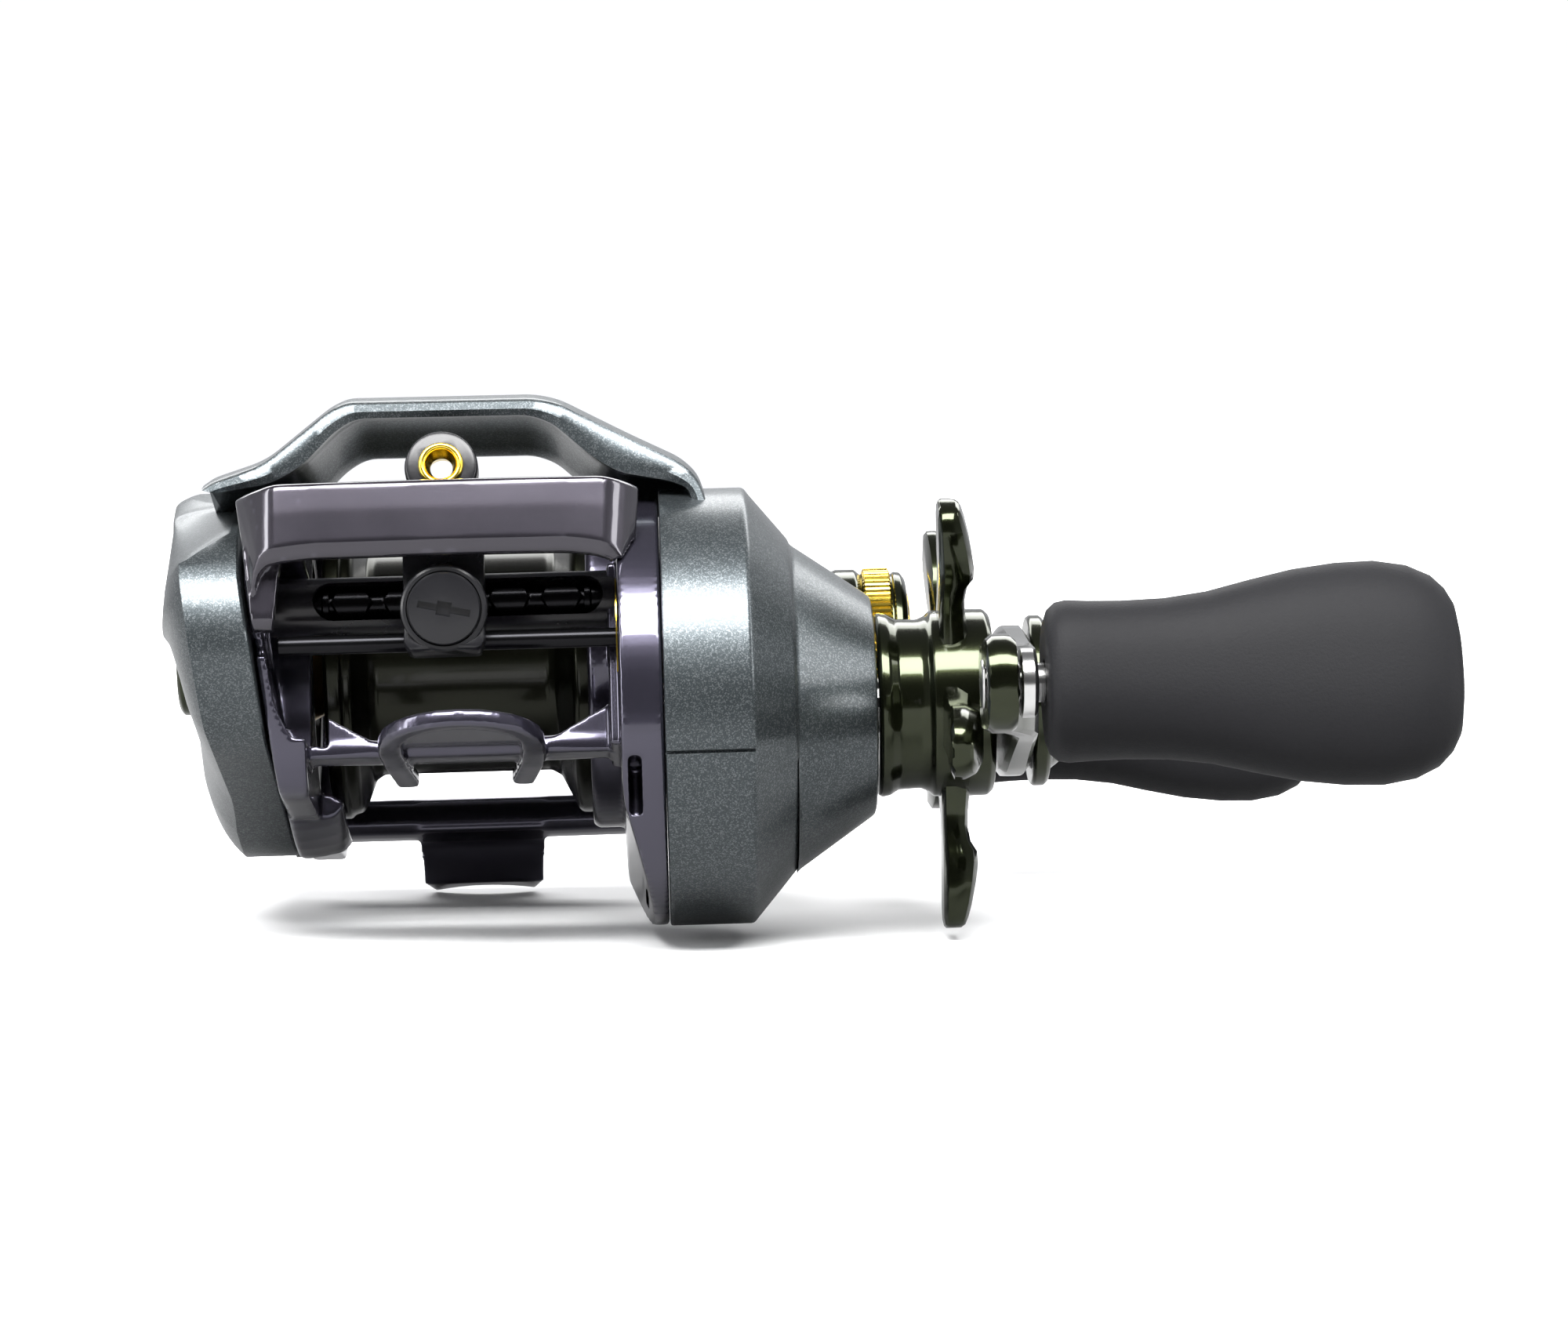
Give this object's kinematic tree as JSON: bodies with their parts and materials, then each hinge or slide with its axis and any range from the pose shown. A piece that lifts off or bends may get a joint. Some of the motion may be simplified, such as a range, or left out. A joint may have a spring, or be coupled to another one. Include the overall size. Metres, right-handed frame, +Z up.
{
  "type": "baitcasting fishing reel",
  "caption": "Low-profile baitcasting fishing reel, right-hand retrieve: skeleton rod foot, level wind with hood, star drag, thumb clutch bar and double paddle handle.",
  "frame": {"origin": "on the spool axis, midway between the spool flanges", "axes": "+X along the spool axis towards the handle, -Y to the line outlet, +Z up from the rod foot"},
  "size_m": [0.1231, 0.0988, 0.0551],
  "materials": {
    "graphite_paint": "fine metallic flake",
    "frame_gloss": "gloss",
    "olive_anodised": "gloss anodised",
    "black_plastic": "gloss",
    "gold": "polished",
    "steel": "fine turned",
    "brass": "cut",
    "rubber": "matte"
  },
  "bodies": {
    "reel_frame": {"frame": "frame_gloss", "front_cover": "frame_gloss", "top_hood": "graphite_paint", "gear_side_plate": "graphite_paint", "worm_guard": "black_plastic", "guide_rod": "steel", "worm_bush_right": "brass", "drive_bush": "brass", "roller_clutch": "steel", "pinion_bearing": "steel", "spool_bearing_right": "steel", "cast_friction_pad": "black_plastic", "yoke_post_1": "steel", "yoke_post_2": "steel", "yoke_spring_1": "steel", "yoke_spring_2": "steel", "gear_plate_screw": "steel"},
    "palm_plate": {"palm_side_plate": "graphite_paint", "brake_housing": "black_plastic", "spool_bearing_left": "steel", "bearing_cup_left": "black_plastic"},
    "brake_dial": {"brake_dial": "olive_anodised"},
    "plate_lock": {"side_plate_lock": "black_plastic"},
    "spool": {"spool": "olive_anodised", "spool_shaft": "steel", "clutch_pin": "steel", "brake_rotor": "brass"},
    "thumb_bar": {"thumb_bar": "graphite_paint", "clutch_cam": "steel"},
    "clutch_yoke": {"clutch_yoke": "black_plastic"},
    "pinion": {"pinion": "brass"},
    "main_gear": {"main_gear": "brass"},
    "drive": {"drive_shaft": "steel", "level_wind_gear": "black_plastic", "drag_washer": "black_plastic", "pressure_plate": "steel", "drag_spring_washer": "steel", "clutch_inner_tube": "steel", "handle_arm": "olive_anodised", "handle_nut": "steel", "nut_retainer": "olive_anodised", "knob_shaft_near": "steel", "knob_shaft_far": "steel"},
    "star": {"star_drag": "olive_anodised", "star_nut": "brass"},
    "cast_cap": {"cast_control_cap": "olive_anodised", "cast_control_ring": "gold"},
    "worm": {"worm_shaft": "steel", "worm_gear": "black_plastic"},
    "level_wind": {"line_guide": "black_plastic", "line_guide_ring": "gold", "pawl": "steel", "pawl_cap": "black_plastic"},
    "knob_near": {"knob_near": "rubber", "knob_cap_near": "olive_anodised"},
    "knob_far": {"knob_far": "rubber", "knob_cap_far": "olive_anodised"}
  },
  "joints": [
    {"name": "palm_plate_slide", "type": "slide", "parent": "reel_frame", "child": "palm_plate", "axis": [-1, 0, 0], "range_m": [0, 0.03]},
    {"name": "brake_dial_turn", "type": "hinge", "parent": "palm_plate", "child": "brake_dial", "pos_m": [-0.029, 0, 0], "axis": [1, 0, 0], "range_deg": [0, 300]},
    {"name": "plate_lock_slide", "type": "slide", "parent": "reel_frame", "child": "plate_lock", "axis": [0, 1, 0], "range_m": [0, 0.0014]},
    {"name": "spool_spin", "type": "hinge", "parent": "reel_frame", "child": "spool", "pos_m": [0, 0, 0], "axis": [1, 0, 0], "continuous": true},
    {"name": "thumb_bar_slide", "type": "slide", "parent": "reel_frame", "child": "thumb_bar", "axis": [0, 0, -1], "range_m": [0, 0.0042]},
    {"name": "yoke_slide", "type": "slide", "parent": "reel_frame", "child": "clutch_yoke", "axis": [1, 0, 0], "range_m": [0, 0.0016], "deforming": ["yoke_spring_1", "yoke_spring_2"]},
    {"name": "pinion_spin", "type": "hinge", "parent": "clutch_yoke", "child": "pinion", "pos_m": [0.0228, 0, 0], "axis": [1, 0, 0], "continuous": true},
    {"name": "drive_spin", "type": "hinge", "parent": "reel_frame", "child": "drive", "pos_m": [0.04, -0.0152, -0.0103], "axis": [1, 0, 0], "continuous": true},
    {"name": "main_gear_spin", "type": "hinge", "parent": "reel_frame", "child": "main_gear", "pos_m": [0.027, -0.0152, -0.0103], "axis": [1, 0, 0], "continuous": true},
    {"name": "star_drag_turn", "type": "hinge", "parent": "drive", "child": "star", "pos_m": [0.047, -0.0152, -0.0103], "axis": [1, 0, 0], "range_deg": [-360, 360]},
    {"name": "cast_control_turn", "type": "hinge", "parent": "reel_frame", "child": "cast_cap", "pos_m": [0.042, 0, 0], "axis": [1, 0, 0], "range_deg": [-360, 360]},
    {"name": "worm_spin", "type": "hinge", "parent": "reel_frame", "child": "worm", "pos_m": [0, -0.0246, -0.0011], "axis": [1, 0, 0], "continuous": true},
    {"name": "line_guide_slide", "type": "slide", "parent": "reel_frame", "child": "level_wind", "axis": [1, 0, 0], "range_m": [-0.0085, 0.0085]},
    {"name": "knob_near_spin", "type": "hinge", "parent": "drive", "child": "knob_near", "pos_m": [0.06, -0.05905, -0.02042], "axis": [1, 0, 0], "continuous": true},
    {"name": "knob_far_spin", "type": "hinge", "parent": "drive", "child": "knob_far", "pos_m": [0.06, 0.02865, -0.00018], "axis": [1, 0, 0], "continuous": true}
  ],
  "couplings": [
    {"joint": "main_gear_spin", "follows": "drive_spin", "ratio": 1},
    {"joint": "pinion_spin", "follows": "drive_spin", "ratio": -8.5},
    {"joint": "spool_spin", "follows": "drive_spin", "ratio": -8.5},
    {"joint": "worm_spin", "follows": "drive_spin", "ratio": -2},
    {"joint": "yoke_slide", "follows": "thumb_bar_slide", "ratio": 0.38}
  ]
}
